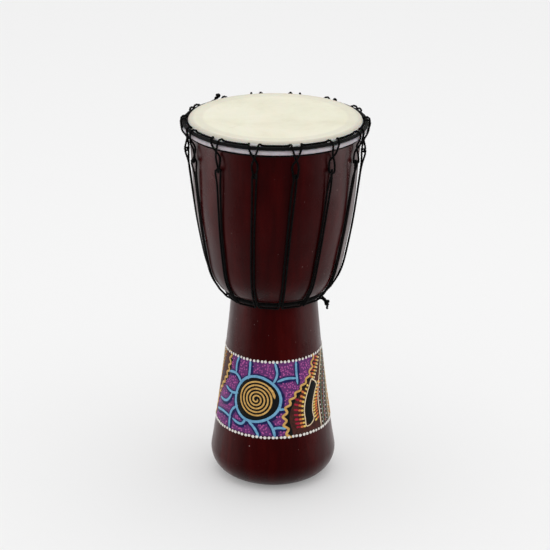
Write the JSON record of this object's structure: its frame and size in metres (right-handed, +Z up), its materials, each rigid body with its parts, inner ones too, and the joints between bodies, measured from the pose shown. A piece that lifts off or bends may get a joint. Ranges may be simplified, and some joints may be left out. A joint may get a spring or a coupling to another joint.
{
  "type": "djembe",
  "caption": "Rope-laced goblet hand drum with a carved wooden shell, a goatskin head, wrapped steel rings and a dot-painted band on the stem.",
  "frame": {"origin": "middle of the foot's flat resting face", "axes": "+Z up the drum's own axis towards the head; -Y is the front, the side with the painted spiral; +X is the right-hand side seen from the front"},
  "size_m": [0.198, 0.195, 0.4038],
  "materials": {
    "lacquered_wood": "dark mahogany stain under glossy clear lacquer",
    "band_paint": "raised acrylic dot and line painting on a dark ground",
    "goatskin": "shaved natural rawhide, faintly mottled, satin",
    "ring_steel": "plain drawn steel rod",
    "black_cloth": "black cloth strip bound round the ring",
    "black_cord": "twisted three-strand black synthetic cord"
  },
  "bodies": {
    "root": {"shell": "lacquered_wood", "painted_band": "band_paint", "drumhead_skin": "goatskin", "flesh_hoop": "ring_steel", "crown_ring": "ring_steel", "crown_ring_cloth": "black_cloth", "crown_rope": "black_cord", "crown_rope_knot": "black_cord", "binding_cord": "black_cord", "waist_ring": "ring_steel", "waist_ring_cloth": "black_cloth", "lacing_rope": "black_cord", "lacing_knot": "black_cord"}
  },
  "joints": []
}
